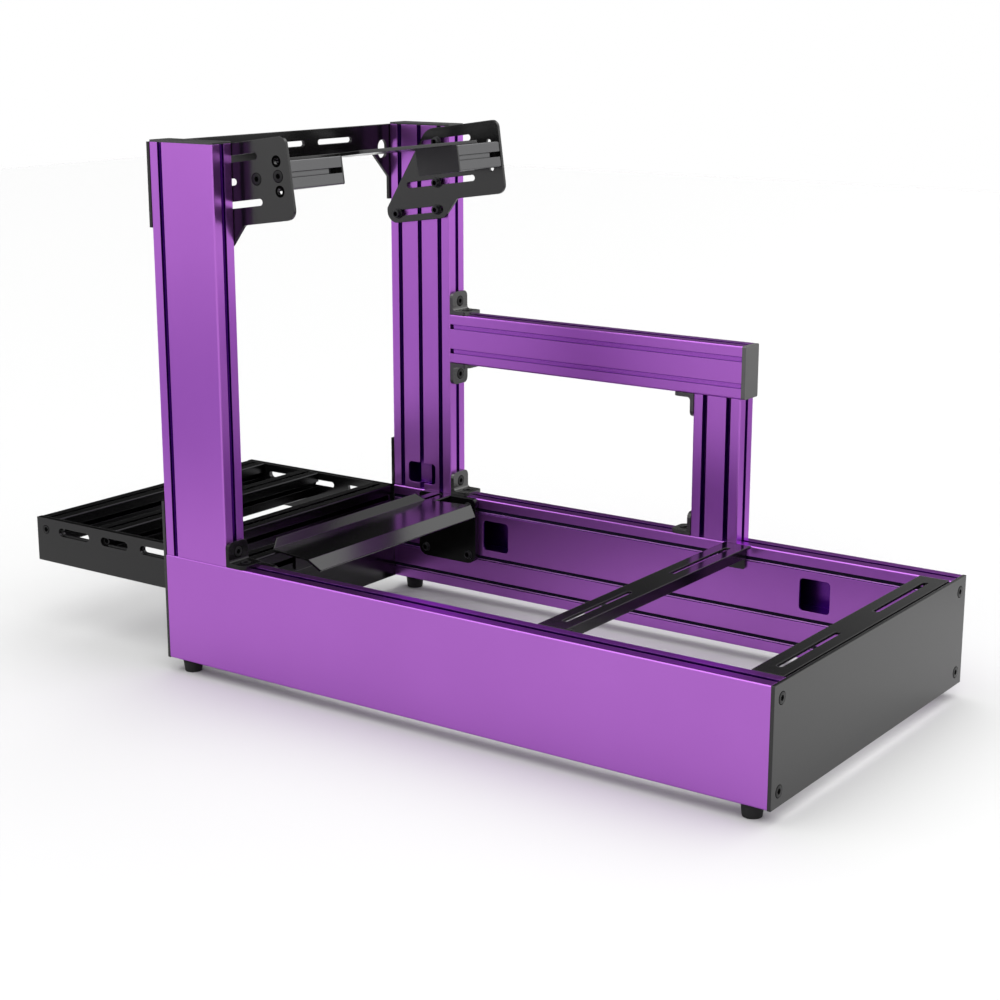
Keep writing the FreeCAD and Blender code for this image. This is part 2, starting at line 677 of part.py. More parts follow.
# Seat crossmember: slotted top sheet, rear flange down, an ear down each rail
def crossmember(label, rear_edge):
    body = new_body(label)
    deep = size("cross_depth")
    sketch = new_sketch(body)
    rectangle(sketch, -deep, -INNER, 0, INNER)
    half = size("seat_slot_length") / 2
    for sign in (-1, 1):
        middle = sign * size("seat_slot_spread") / 2
        long_slot(sketch, (-deep / 2, middle - half), (-deep / 2, middle + half),
                  size("seat_slot_width"))
    pad(body, sketch, "dims.sheet", reverse=True)
    flange = new_sketch(body, "YZ_Plane")
    reach = INNER - size("cross_notch")
    rectangle(flange, -reach, -size("cross_flange"), reach, 0)
    pad(body, flange, "dims.sheet", reverse=True)
    ear_rear = -size("cross_ear_inset")
    ear_front = ear_rear - size("cross_ear_depth")
    for sign in (-1, 1):
        ear = new_sketch(body, "XZ_Plane", offset=-sign * INNER)
        low = -size("cross_ear_height")
        edge = size("cross_ear_round")
        outline(ear, [(ear_front, 0), (ear_front, low, edge), (ear_rear, low, edge),
                      (ear_rear, 0)])
        pad(body, ear, "dims.sheet", reverse=sign < 0)
    body.Placement = frame_at((rear_edge, 0, RAIL_TOP), (1, 0, 0), (0, 1, 0))


# Place of a side plate whose outer face lies in the plane of the base rails' inner faces.
# The plate grows towards -Y.
def side_place(side, x, z):
    start = size("pedal_plate") - INNER if SIDES[side] < 0 else INNER
    return frame_at((x, start, z), (1, 0, 0), (0, 0, 1))


# Black cross rail between two side plates, its top flush with the base rails
def cross_rail(label, start):
    place = frame_at((start, size("pedal_plate") - INNER, RAIL_TOP), (1, 0, 0), (0, 0, -1))
    profile(label, "dims.frame_width - 2 * dims.module_w - 2 * dims.pedal_plate", 1, [0], [0],
            place)


def pedal_deck():
    long = size("pedal_length")
    high = size("pedal_height")
    front = FRONT - size("plate") - long
    middle = high - size("pedal_slot_drop")
    narrow = size("pedal_slot_height")
    ends = (size("pedal_slot_recess") - narrow) / 2
    corners = [(0, 0), (long, 0), (long, high), (0, high)]
    for side, sign in SIDES.items():
        body = flat_plate("pedal_side_plate_" + side, corners,
                          side_place(side, front, RAIL_TOP - high), thickness="dims.pedal_plate")
        through = new_sketch(body)
        outer = size("pedal_plate") if sign < 0 else 0
        recess = new_sketch(body, offset=outer)
        for x0, x1 in PEDAL_SLOTS:
            long_slot(through, (x0 + ends, middle), (x1 - ends, middle), narrow, SLOT_STEPS)
            long_slot(recess, (x0, middle), (x1, middle), size("pedal_slot_recess"), SLOT_STEPS)
        pocket(body, through)
        pocket(body, recess, "dims.pedal_slot_sink", reverse=sign > 0)
    cross_rail("pedal_rail_front", front)
    cross_rail("pedal_rail_middle", front + size("pedal_mid_place"))
    cross_rail("pedal_rail_rear", FRONT - size("module_w"))


def feet():
    places = {"front": FRONT + size("foot_front_inset"), "rear": REAR - size("foot_rear_inset")}
    for end, x in places.items():
        for side, sign in SIDES.items():
            body = new_body("foot_%s_%s" % (end, side))
            sketch = new_sketch(body)
            polygon(sketch, 0, 0, size("foot_width"), FOOT_SIDES)
            pad(body, sketch, "dims.foot_height")
            body.Placement = Placement(Vector(x, sign * (HALF - size("module_w") / 2), 0),
                                       FreeCAD.Rotation())


def build():
    base_rails()
    uprights()
    end_plates()
    upper_plate()
    wheel_deck()
    shifter_arm()
    brackets()
    heel_plate()
    heel_support()
    crossmember("seat_crossmember_middle", FRONT + size("mid_cross_place"))
    crossmember("seat_crossmember_rear", REAR - size("rear_cross_gap"))
    pedal_deck()
    feet()
    DOC.recompute()


def sub_parts():
    return [o for o in DOC.Objects if o.TypeId == "PartDesign::Body"]


def check():
    for item in DOC.Objects:
        if "Invalid" in item.State or "Error" in item.State:
            raise RuntimeError(item.Label + " failed")
    for item in sub_parts():
        if item.Shape.isNull() or not item.Shape.isValid():
            raise RuntimeError(item.Label + " has no valid shape")


build()
check()
os.makedirs("parts", exist_ok=True)
for item in sub_parts():
    item.Shape.exportStep("parts/%s.step" % item.Label)
print(len(sub_parts()), "sub-parts written")
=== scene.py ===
# Looks of the sim racing cockpit: finishes, fasteners, painted slot shade, feet, studio and
# camera
import math

import bmesh
import bpy
from mathutils import Matrix, Vector


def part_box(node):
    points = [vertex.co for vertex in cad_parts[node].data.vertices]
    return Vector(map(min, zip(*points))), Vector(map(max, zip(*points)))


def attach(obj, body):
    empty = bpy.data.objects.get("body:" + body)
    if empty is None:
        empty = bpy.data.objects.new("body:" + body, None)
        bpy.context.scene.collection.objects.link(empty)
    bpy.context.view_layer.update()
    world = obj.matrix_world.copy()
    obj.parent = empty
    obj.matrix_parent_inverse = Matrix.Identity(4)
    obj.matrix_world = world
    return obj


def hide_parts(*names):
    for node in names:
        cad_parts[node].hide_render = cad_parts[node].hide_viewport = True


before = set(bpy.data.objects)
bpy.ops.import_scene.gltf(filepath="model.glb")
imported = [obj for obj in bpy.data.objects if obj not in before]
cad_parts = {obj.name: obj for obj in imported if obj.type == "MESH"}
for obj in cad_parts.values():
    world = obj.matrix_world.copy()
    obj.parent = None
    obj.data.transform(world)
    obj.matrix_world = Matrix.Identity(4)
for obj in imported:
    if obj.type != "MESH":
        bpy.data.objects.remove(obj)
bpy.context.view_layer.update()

SCENE = bpy.context.scene
LOW, HIGH = 0, 1
X, Y, Z = 0, 1, 2

# Lengths are in metres, or in millimetres times MM. +X points to the driver's seat, +Y to
# the shifter side and +Z up.
MM = 0.001

# The camera stands where the photograph was taken; angles in degrees, lens in millimetres
CAMERA_PLACE = (1.67468, -2.27079, 0.95962)
CAMERA_AZIMUTH = 35.449
CAMERA_ELEVATION = 14.071
CAMERA_LENS = 70.455
CAMERA_SENSOR = 36

# Colours, linear
WHITE = (1, 1, 1, 1)
PURPLE = (0.390, 0.130, 0.526, 1)
PURPLE_DEEP = (0.376, 0.124, 0.508, 1)
PURPLE_GRAZING = (0.85, 0.50, 1.00, 1)
COVER_PURPLE = (0.330, 0.095, 0.480, 1)
COVER_DEEP = (0.315, 0.089, 0.460, 1)
# Painted shade of slots and gaps in purple metal, mixed in where they are deep
SLOT_SHADE_PURPLE = (0.080, 0.008, 0.210, 1)
SLOT_SHADE_NAVY = (0.004, 0.001, 0.012, 1)
# The lip colours are the purple painted lighter, as a painted highlight on the slot's lower
# lip
LIP_HIGHLIGHT_PURPLE = (0.760, 0.380, 0.880, 1)
LIP_HIGHLIGHT_DEEP = (0.690, 0.340, 0.800, 1)
BLACK_METAL = (0.030, 0.030, 0.031, 1)
BLACK_METAL_DEEP = (0.026, 0.026, 0.027, 1)
# The bar colours are the black anodised metal painted lighter, as painted light on the bars'
# lit rear faces
BAR_PAINTED_LIGHT = (0.120, 0.120, 0.122, 1)
BAR_PAINTED_LIGHT_DEEP = (0.110, 0.110, 0.113, 1)
# Painted shade of slots and gaps in black metal
SLOT_SHADE_BLACK = (0.004, 0.004, 0.005, 1)
BLACK_COAT = (0.0014, 0.0014, 0.0015, 1)
BLACK_COAT_WARM = (0.0020, 0.0019, 0.0020, 1)
BRACKET_GREY = (0.0120, 0.0120, 0.0110, 1)
BRACKET_DEEP = (0.0100, 0.0100, 0.0095, 1)
# The arm and upright cap colours are the black plastic painted lighter, as painted light
ARM_CAP_PAINTED_LIGHT = (0.060, 0.060, 0.058, 1)
ARM_CAP_PAINTED_LIGHT_DEEP = (0.054, 0.054, 0.053, 1)
TOP_CAP_PAINTED_LIGHT = (0.020, 0.021, 0.020, 1)
TOP_CAP_PAINTED_LIGHT_DEEP = (0.017, 0.018, 0.017, 1)
BLACK_PLASTIC = (0.0035, 0.0035, 0.0037, 1)
BLACK_PLASTIC_WARM = (0.0050, 0.0050, 0.0053, 1)
SCREW_STEEL = (0.024, 0.024, 0.026, 1)
SCREW_DEEP = (0.018, 0.018, 0.020, 1)
SOCKET_SHADE_BLACK = (0.001, 0.001, 0.001, 1)

# Noise per metre: die lines across and along an extrusion, and clouds of tone
DIE_LINES = 900.0
DIE_LENGTH = 4.0
METAL_CLOUD = 5.0
COAT_CLOUD = 14.0
CLOUD_DETAIL = 2.0
GRAIN_DETAIL = 3.0

# Noise values between which tone and roughness go from one end to the other
TONE_RANGE = (0.35, 0.65)
ROUGH_RANGE = (0.3, 0.7)

# Specular level of bare metal
METAL_SHINE = 0.5

# Bump of die lines and of grain: share, and for the lines their height in millimetres
LINE_STRENGTH = 0.006
LINE_HEIGHT = 0.01
GRAIN_STRENGTH = 0.35

# Shading sizes in millimetres: how far slots and gaps look for walls for their painted shade,
# and rounds on edges
SLOT_REACH = 60
GAP_REACH = 3
EDGE_ROUND = 0.7
BEND_ROUND = 1.6
SLOT_SAMPLES = 6
EDGE_SAMPLES = 4

# Shares of open sky at which a surface gets the full painted shade of a slot, and none of it
SLOT_SKY = (0.45, 0.85)
GAP_SKY = (0.62, 0.90)

# Extruded finishes: material name, axis of the die lines, two colours, tint at grazing
# angles, roughness, colour of the painted shade in slots, and whether that painted shade
# darkens gaps against other pieces instead
EXTRUDED = {
    "purple_lengthwise": ("purple_anodised_lengthwise", X, PURPLE, PURPLE_DEEP,
                          PURPLE_GRAZING, (0.29, 0.31), SLOT_SHADE_PURPLE, False),
    "purple_upright": ("purple_anodised_upright", Z, PURPLE, PURPLE_DEEP,
                       PURPLE_GRAZING, (0.29, 0.31), SLOT_SHADE_PURPLE, False),
    "black_crosswise": ("black_anodised", Y, BLACK_METAL, BLACK_METAL_DEEP,
                        WHITE, (0.22, 0.27), SLOT_SHADE_BLACK, False),
    # The two bar rows are painted light: lighter copies of the black anodised finish
    "bar": ("black_bar_painted_light", Y, BAR_PAINTED_LIGHT, BAR_PAINTED_LIGHT_DEEP,
            WHITE, (0.22, 0.27), SLOT_SHADE_BLACK, False),
    "bar_cover": ("black_bar_cover_painted_light", Y, BAR_PAINTED_LIGHT, BAR_PAINTED_LIGHT_DEEP,
                  WHITE, (0.22, 0.27), SLOT_SHADE_BLACK, True),
    "cover": ("purple_slot_cover", X, COVER_PURPLE, COVER_DEEP,
              WHITE, (0.26, 0.30), SLOT_SHADE_PURPLE, True),
    # The lip row is a painted highlight: a lighter copy of the purple
    "lip_highlight": ("purple_slot_lip_highlight", X, LIP_HIGHLIGHT_PURPLE, LIP_HIGHLIGHT_DEEP,
            WHITE, (0.34, 0.40), SLOT_SHADE_PURPLE, False),
}

# Grained finishes: material name, two colours, metallic share, specular level, roughness,
# grains per metre, grain height and edge round in millimetres
GRAINED = {
    "coat": ("black_powder_coat", BLACK_COAT, BLACK_COAT_WARM,
             0.0, 0.50, (0.15, 0.21), 850.0, 0.02, BEND_ROUND),
    # The next two rows are the powder coat with less reflection: painted shade for parts that
    # sit in shade
    "dimmed_coat": ("black_coat_painted_dim", BLACK_COAT, BLACK_COAT_WARM,
                  0.0, 0.34, (0.15, 0.21), 850.0, 0.02, BEND_ROUND),
    "shaded_coat": ("black_coat_painted_shade", BLACK_COAT, BLACK_COAT_WARM,
                    0.0, 0.18, (0.15, 0.21), 850.0, 0.02, BEND_ROUND),
    "bracket": ("black_cast_bracket", BRACKET_GREY, BRACKET_DEEP,
                0.0, 0.75, (0.20, 0.28), 1100.0, 0.03, EDGE_ROUND),
    # The next two cap rows are black plastic painted lighter, as painted light
    "top_cap": ("black_upright_cap_painted_light", TOP_CAP_PAINTED_LIGHT, TOP_CAP_PAINTED_LIGHT_DEEP,
                0.0, 0.50, (0.28, 0.38), 1400.0, 0.03, EDGE_ROUND),
    "rear_cap": ("black_arm_cap_painted_light", ARM_CAP_PAINTED_LIGHT, ARM_CAP_PAINTED_LIGHT_DEEP,
                 0.0, 0.50, (0.28, 0.38), 1400.0, 0.03, EDGE_ROUND),
    "plastic": ("black_end_cap", BLACK_PLASTIC, BLACK_PLASTIC_WARM,
                0.0, 0.50, (0.28, 0.38), 1400.0, 0.03, EDGE_ROUND),
    "rubber": ("black_rubber", BLACK_PLASTIC, BLACK_PLASTIC_WARM,
               0.0, 0.30, (0.62, 0.78), 1100.0, 0.10, EDGE_ROUND),
    "screw": ("black_oxide_screw", SCREW_STEEL, SCREW_DEEP,
              0.7, 0.50, (0.26, 0.38), 1600.0, 0.02, EDGE_ROUND),
    "flush": ("black_flush_screw", BLACK_PLASTIC, BLACK_PLASTIC_WARM,
              0.0, 0.20, (0.26, 0.38), 1600.0, 0.02, EDGE_ROUND),
    # Painted shade of sockets, gaps and countersinks
    "socket": ("socket_shadow", SOCKET_SHADE_BLACK, SOCKET_SHADE_BLACK,
               0.0, 0.00, (0.60, 0.70), 1200.0, 0.02, EDGE_ROUND),
    # Painted shade inside the open slots of the base rails, on a dark sheet
    "shade_sheet": ("slot_shadow", SLOT_SHADE_NAVY, SLOT_SHADE_NAVY,
              0.0, 0.10, (0.50, 0.60), 1200.0, 0.02, EDGE_ROUND),
}

# Finish of the CAD nodes; those left out are powder coated sheet steel
FINISH = {
    "purple_lengthwise": ["base_rail_left", "base_rail_right", "shifter_arm"],
    "purple_upright": ["upright_left", "upright_right", "shifter_post"],
    "black_crosswise": ["pedal_rail_front", "pedal_rail_middle", "pedal_rail_rear",
                        "heel_rail"],
    "bar": ["wheel_bar_left", "wheel_bar_right"],
    "bar_cover": ["wheel_bar_cover_left", "wheel_bar_cover_right"],
    "shaded_coat": ["heel_side_plate_left", "heel_side_plate_right", "upright_bracket_left"],
    "dimmed_coat": ["pedal_side_plate_left", "pedal_side_plate_right", "upper_cross_plate",
                  "heel_plate"],
    "top_cap": ["upright_cap_left", "upright_cap_right"],
    "bracket": ["upright_bracket_right", "arm_bracket_upper", "arm_bracket_lower",
                "post_bracket_upper", "post_bracket_lower"],
    "cover": ["rail_slot_covers_left", "rail_slot_covers_right", "shifter_arm_covers"],
    "plastic": ["wheel_bar_cap_left", "wheel_bar_cap_right"],
    "rear_cap": ["shifter_arm_cap"],
    "rubber": ["foot_front_left", "foot_front_right", "foot_rear_left", "foot_rear_right"],
}

# Turned pieces: points round, turn from one screw to the next in radians, and the angle in
# degrees from which an edge is sharp
SIDES = 48
SPIN = 0.7
SHARP_ANGLE = 32

# Fasteners in millimetres: width and height of heads, and sockets across their flats
BRACKET_HEAD = 15.5
PLATE_HEAD = 16
PEDAL_HEAD = 12
CAP_HEAD = 13.5
CAP_HEIGHT = 8
EAR_HEAD = 12
EAR_HEAD_HEIGHT = 5
SOCKET = 7

# Their forms, as (beyond the head's radius or the socket's width, height). A shoulder and
# the socket of a cap screw count their heights from the head's top. The faces after a dark
# step are painted dark, as the shade in gaps and sockets.
FLUSH_RIM = ((0.9, 0.0), (0.9, 0.10), (0.0, 0.10), (-0.1, 0.30), (-0.6, 0.42))
FLUSH_SOCKET = ((0.5, 0.42), (0.0, 0.20), (0.0, 0.06))
FLUSH_SHADE_STEPS = (0, 1, 6)
WASHER = ((1.6, 0.0), (1.6, 1.2), (1.2, 1.5), (0.0, 1.5))
SHOULDER = ((0.0, -1.4), (-0.4, -0.5), (-1.3, 0.0))
CAP_SOCKET = ((0.6, 0.0), (0.0, -0.4), (0.0, -4.0))
CAP_SHADE_STEPS = (8,)

# Places in millimetres. Slots and bores lie half a module in from a profile's edge.
MODULE = 40
HALF_MODULE = 20
BRACKET_SHEET = 6
UPPER_PLATE_SCREWS = 3

# Corner brackets: node, and the way its legs point along X and Z
BRACKETS = (("upright_bracket_left", 1, 1), ("upright_bracket_right", 1, 1),
            ("arm_bracket_upper", 1, 1), ("arm_bracket_lower", 1, -1),
            ("post_bracket_upper", -1, -1), ("post_bracket_lower", -1, 1))

# Pedal deck screws: how far behind the plate's front, and how deep in the plate
PEDAL_DROP = 18
PEDAL_SCREWS = ((20, 0), (150, 6), (305, 6))

# Wheel deck: tilt in degrees, cap screws by X and Z in metres, open holes in millimetres
# across the tilt, and their countersinks by radius and height
DECK_TILT = 8
WHEEL_PLATE_CAPS = ((-0.320, 0.637), (-0.240, 0.648), (-0.240, 0.691), (-0.240, 0.7555))
OPEN_HOLES = 20.5
COUNTERSINK = ((8.2, 0.0), (8.0, 0.12), (4.6, 0.04), (4.5, -2.0))

# Ears of the seat crossmembers, and heel side plates: screws in from their edges, and the
# thickness of the ears
EAR_INSET = 22
EAR_SHEET = 4
HEEL_INSET = 15
HEEL_FAR_INSET = 14

# Painted slot shade: modules of a rail that have a dark sheet, and the lip's place in
# millimetres
RAIL_SLOTS = (0, 1, 3)
SHADE_SHEET_HEIGHT = 7.6
SHADE_SHEET_THICK = 0.4
LIP_DEPTH = 1.0
LIP_FROM = 0.4
LIP_TO = 1.8
STRIP_FACES = ((0, 1, 3, 2), (4, 6, 7, 5), (0, 4, 5, 1), (2, 3, 7, 6), (0, 2, 6, 4),
               (1, 5, 7, 3))

# Rubber foot: radius and height in millimetres, from its sole to the collar under the rail
FOOT = ((9.0, 0.6), (11.6, 0.0), (12.6, 0.5), (13.0, 1.6), (14.3, 14.5), (14.2, 15.3),
        (14.6, 16.0), (15.0, 16.6), (15.0, 19.6), (14.7, 20.0))

# Studio floor. Its darker parts are painted shade, the first tinted purple as a painted
# reflection of the frame's purple; they are only mirrored and never seen: middle (m), dark
# within, white beyond, share of light left.
FLOOR_HALF = 8.0
FLOOR_ROUGH = 0.6
FLOOR_SHINE = 0.2
FLOOR_WHITE = 0.418
FLOOR_SHADES = (((-1.80, -2.20, 0), 0.70, 1.70, (0.36, 0.24, 0.50)),
                ((1.30, 1.75, 0), 0.50, 1.25, (0.40, 0.40, 0.42)))

# Room light by direction: dark behind the object, where its top faces are mirrored, bright
# in front, and brighter still from the ceiling
DARK_SIDE = (-0.628, 0.527, 0.574)
DARK_RANGE = (0.62, 0.915)
ROOM_BRIGHT = 1.3
CEILING_RANGE = (0.45, 0.62)
CEILING_BRIGHT = 3.0

# Sun, in degrees and watts per square metre
SUN_AZIMUTH = 215.0
SUN_ELEVATION = 52.0
SUN_POWER = 2.4
SUN_WIDTH = 60.0


def edge_of(node, end, axis):
    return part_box(node)[end][axis]


# Shader nodes: each helper adds a node to a tree and returns its output
def map_range(tree, value, source, target=(0.0, 1.0), smooth=False):
    node = tree.nodes.new("ShaderNodeMapRange")
    if smooth:
        node.interpolation_type = "SMOOTHSTEP"
    node.inputs["From Min"].default_value, node.inputs["From Max"].default_value = source
    node.inputs["To Min"].default_value, node.inputs["To Max"].default_value = target
    tree.links.new(value, node.inputs["Value"])
    return node.outputs["Result"]


def combine(tree, operation, first, second):
    node = tree.nodes.new("ShaderNodeMath")
    node.operation = operation
    tree.links.new(first, node.inputs[0])
    tree.links.new(second, node.inputs[1])
    return node.outputs["Value"]


def measure(tree, operation, vector, fixed):
    node = tree.nodes.new("ShaderNodeVectorMath")
    node.operation = operation
    node.inputs[1].default_value = fixed
    tree.links.new(vector, node.inputs[0])
    return node.outputs["Value"]


# The clear colour is a colour or another node's output
def mix_colours(tree, factor, dark, clear):
    node = tree.nodes.new("ShaderNodeMix")
    node.data_type = "RGBA"
    first, second = [socket for socket in node.inputs if socket.type == "RGBA"]
    first.default_value = dark
    if isinstance(clear, bpy.types.NodeSocket):
        tree.links.new(clear, second)
    else:
        second.default_value = clear
    tree.links.new(factor, node.inputs["Factor"])
    return [socket for socket in node.outputs if socket.type == "RGBA"][0]


# Noise, with its scale per metre along each axis
def noise(tree, scale, detail):
    place = tree.nodes.new("ShaderNodeTexCoord")
    stretch = tree.nodes.new("ShaderNodeMapping")
    stretch.inputs["Scale"].default_value = scale
    grain = tree.nodes.new("ShaderNodeTexNoise")
    grain.inputs["Scale"].default_value = 1.0
    grain.inputs["Detail"].default_value = detail
    tree.links.new(place.outputs["Object"], stretch.inputs["Vector"])
    tree.links.new(stretch.outputs["Vector"], grain.inputs["Vector"])
    return grain.outputs["Fac"]


def blend_colours(tree, factor, first, second):
    node = tree.nodes.new("ShaderNodeValToRGB")
    for element, position, colour in zip(node.color_ramp.elements, TONE_RANGE,
                                         (first, second)):
        element.position = position
        element.color = colour
    tree.links.new(factor, node.inputs["Fac"])
    return node.outputs["Color"]


# Painted shade: slots and corners, found by ambient occlusion, go over to their own dark
# colour
def paint_slot_shade(tree, colour, slot_shade_colour, shade_in_gaps):
    depth = tree.nodes.new("ShaderNodeAmbientOcclusion")
    depth.samples = SLOT_SAMPLES
    depth.only_local = not shade_in_gaps
    depth.inputs["Distance"].default_value = (GAP_REACH if shade_in_gaps else SLOT_REACH) * MM
    clear = map_range(tree, depth.outputs["AO"], GAP_SKY if shade_in_gaps else SLOT_SKY)
    return mix_colours(tree, clear, slot_shade_colour, colour)


def raise_grain(tree, factor, strength, height, edge_round):
    bump = tree.nodes.new("ShaderNodeBump")
    bump.inputs["Strength"].default_value = strength
    bump.inputs["Distance"].default_value = height * MM
    edge = tree.nodes.new("ShaderNodeBevel")
    edge.samples = EDGE_SAMPLES
    edge.inputs["Radius"].default_value = edge_round * MM
    tree.links.new(edge.outputs["Normal"], bump.inputs["Normal"])
    tree.links.new(factor, bump.inputs["Height"])
    return bump.outputs["Normal"]


# Materials: every finish is one shader with noise for its grain
def shader(name, metallic, roughness, specular):
    material = bpy.data.materials.new(name)
    material.use_nodes = True
    surface = material.node_tree.nodes["Principled BSDF"]
    surface.inputs["Metallic"].default_value = metallic
    surface.inputs["Roughness"].default_value = roughness
    surface.inputs["Specular IOR Level"].default_value = specular
    return material, surface


def link_surface(tree, surface, colour, grain, roughness, normal):
    tree.links.new(colour, surface.inputs["Base Color"])
    tree.links.new(map_range(tree, grain, ROUGH_RANGE, roughness), surface.inputs["Roughness"])
    tree.links.new(normal, surface.inputs["Normal"])


# Anodised extrusion: die lines run along one axis
def extruded(name, axis, first, second, grazing, roughness, slot_shade_colour, shade_in_gaps):
    material, surface = shader(name, 1.0, sum(roughness) / 2, METAL_SHINE)
    surface.inputs["Specular Tint"].default_value = grazing
    tree = material.node_tree
    scale = [DIE_LINES] * 3
    scale[axis] = DIE_LENGTH
    lines = noise(tree, scale, CLOUD_DETAIL)
    cloud = noise(tree, [METAL_CLOUD] * 3, CLOUD_DETAIL)
    colour = blend_colours(tree, cloud, first, second)
    link_surface(tree, surface, paint_slot_shade(tree, colour, slot_shade_colour, shade_in_gaps), lines,
                 roughness, raise_grain(tree, lines, LINE_STRENGTH, LINE_HEIGHT, EDGE_ROUND))
    return material


# Powder coat or moulded plastic: fine even grain
def grained(name, first, second, metallic, specular, roughness, grains, height, edge_round):
    material, surface = shader(name, metallic, sum(roughness) / 2, specular)
    tree = material.node_tree
    speckle = noise(tree, [grains] * 3, GRAIN_DETAIL)
    cloud = noise(tree, [COAT_CLOUD] * 3, CLOUD_DETAIL)
    link_surface(tree, surface, blend_colours(tree, cloud, first, second), speckle, roughness,
                 raise_grain(tree, speckle, GRAIN_STRENGTH, height, edge_round))
    return material


MATERIALS = {key: extruded(*row) for key, row in EXTRUDED.items()}
MATERIALS.update({key: grained(*row) for key, row in GRAINED.items()})


def dress_nodes():
    finish = {node: name for name, group in FINISH.items() for node in group}
    for node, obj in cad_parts.items():
        obj.data.materials.clear()
        obj.data.materials.append(MATERIALS[finish.get(node, "coat")])


# Pieces: a mesh of rings, each SIDES points round, turned about the outward axis
def ring(mesh, radius, height, place):
    points = []
    for i in range(SIDES):
        angle = 2 * math.pi * i / SIDES
        reach = radius(angle) if callable(radius) else radius
        point = Vector((reach * math.cos(angle), reach * math.sin(angle), height)) * MM
        points.append(mesh.verts.new(place @ point))
    return points


def hexagon(across):
    def reach(angle):
        local = math.fmod(angle, math.pi / 3) - math.pi / 6
        return across / 2 / math.cos(local)
    return reach


# Turned form from (radius, height) steps; its end and the faces after a dark step get the
# second material, which on screws is the painted shade of gaps and sockets
def turn(mesh, steps, place, dark=(), closed=True):
    loops = [ring(mesh, radius, height, place) for radius, height in steps]
    for i, (outer, inner) in enumerate(zip(loops, loops[1:])):
        for a in range(SIDES):
            b = (a + 1) % SIDES
            face = mesh.faces.new((outer[a], outer[b], inner[b], inner[a]))
            face.material_index = 1 if i in dark else 0
    if closed:
        last = mesh.faces.new(loops[-1])
        last.material_index = 1 if dark else 0


# Place whose local z points along the outward direction
def facing(origin, outward, spin=0):
    turned = Vector(outward).to_track_quat("Z", "Y").to_matrix().to_4x4()
    return Matrix.Translation(origin) @ turned @ Matrix.Rotation(spin, 4, "Z")


def add_piece(name, mesh, finishes):
    bmesh.ops.recalc_face_normals(mesh, faces=mesh.faces)
    data = bpy.data.meshes.new(name)
    mesh.to_mesh(data)
    mesh.free()
    obj = bpy.data.objects.new(name, data)
    SCENE.collection.objects.link(obj)
    for finish in finishes:
        data.materials.append(MATERIALS[finish])
    for face in data.polygons:
        face.use_smooth = True
    data.set_sharp_from_angle(angle=math.radians(SHARP_ANGLE))
    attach(obj, "root")
    return obj


def screws(name, places, steps, dark, finish):
    mesh = bmesh.new()
    for i, (origin, outward) in enumerate(places):
        turn(mesh, steps, facing(origin, outward, SPIN * i), dark)
    add_piece(name, mesh, [finish, "socket"])


# Flush screw: a thin gap round a flat head with a hexagon socket; gap and socket are painted
# dark as their shade
def flush_screws(name, places, head=BRACKET_HEAD):
    steps = [(head / 2 + beyond, rise) for beyond, rise in FLUSH_RIM]
    steps += [(hexagon(SOCKET + beyond), rise) for beyond, rise in FLUSH_SOCKET]
    screws(name, places, steps, FLUSH_SHADE_STEPS, "flush")


# Cap screw: a tall head with a rounded shoulder and a deep hexagon socket, on a washer
def cap_screws(name, places, head=CAP_HEAD, height=CAP_HEIGHT):
    steps = [(head / 2 + beyond, rise) for beyond, rise in WASHER]
    steps += [(head / 2 + beyond, height + rise) for beyond, rise in SHOULDER]
    steps += [(hexagon(SOCKET + beyond), height + rise) for beyond, rise in CAP_SOCKET]
    screws(name, places, steps, CAP_SHADE_STEPS, "screw")


# Corner brackets: one screw in the middle of each leg
def bracket_screws():
    places = []
    leg = HALF_MODULE * MM
    thick = BRACKET_SHEET * MM
    for node, back, rise in BRACKETS:
        low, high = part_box(node)
        corner_x = low.x if back > 0 else high.x
        corner_z = low.z if rise > 0 else high.z
        y = (low.y + high.y) / 2
        places.append(((corner_x + back * leg, y, corner_z + rise * thick), (0, 0, rise)))
        places.append(((corner_x + back * thick, y, corner_z + rise * leg), (back, 0, 0)))
    flush_screws("bracket_screws", places)


# End plates: screws into the core bores of the rails, and into the uprights' slots
def end_plate_screws():
    floor = edge_of("base_rail_left", LOW, Z)
    rail_top = edge_of("base_rail_left", HIGH, Z)
    half = HALF_MODULE * MM
    side = edge_of("base_rail_right", HIGH, Y) - half
    in_rails = [floor + half, rail_top - half]
    in_uprights = [rail_top + half, rail_top + half + MODULE * MM]
    top = edge_of("upper_cross_plate", HIGH, Z) - half
    on_upper = [top - i * MODULE * MM for i in range(UPPER_PLATE_SCREWS)]
    for name, x, outward, heights in (
            ("rear_plate_screws", edge_of("rear_end_plate", HIGH, X), 1, in_rails),
            ("front_plate_screws", edge_of("front_end_plate", LOW, X), -1,
             in_rails + in_uprights),
            ("upper_plate_screws", edge_of("upper_cross_plate", LOW, X), -1, on_upper)):
        flush_screws(name, [((x, sign * side, z), (outward, 0, 0))
                            for sign in (-1, 1) for z in heights])


# Pedal deck: a screw into each end of each cross rail
def pedal_deck_screws():
    low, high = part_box("pedal_side_plate_right")
    height = high.z - PEDAL_DROP * MM
    places = [((low.x + behind * MM, sign * (high.y - sunk * MM), height), (0, sign, 0))
              for behind, sunk in PEDAL_SCREWS for sign in (-1, 1)]
    flush_screws("pedal_deck_screws", places, PEDAL_HEAD)


# Point of the tilted wheel deck, in millimetres along and across it from the bar's middle
def deck_point(along, across, y):
    low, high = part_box("wheel_bar_left")
    centre = (low + high) / 2
    tilt = math.radians(DECK_TILT)
    x = centre.x + (along * math.cos(tilt) - across * math.sin(tilt)) * MM
    z = centre.z + (along * math.sin(tilt) + across * math.cos(tilt)) * MM
    return (x, y, z)


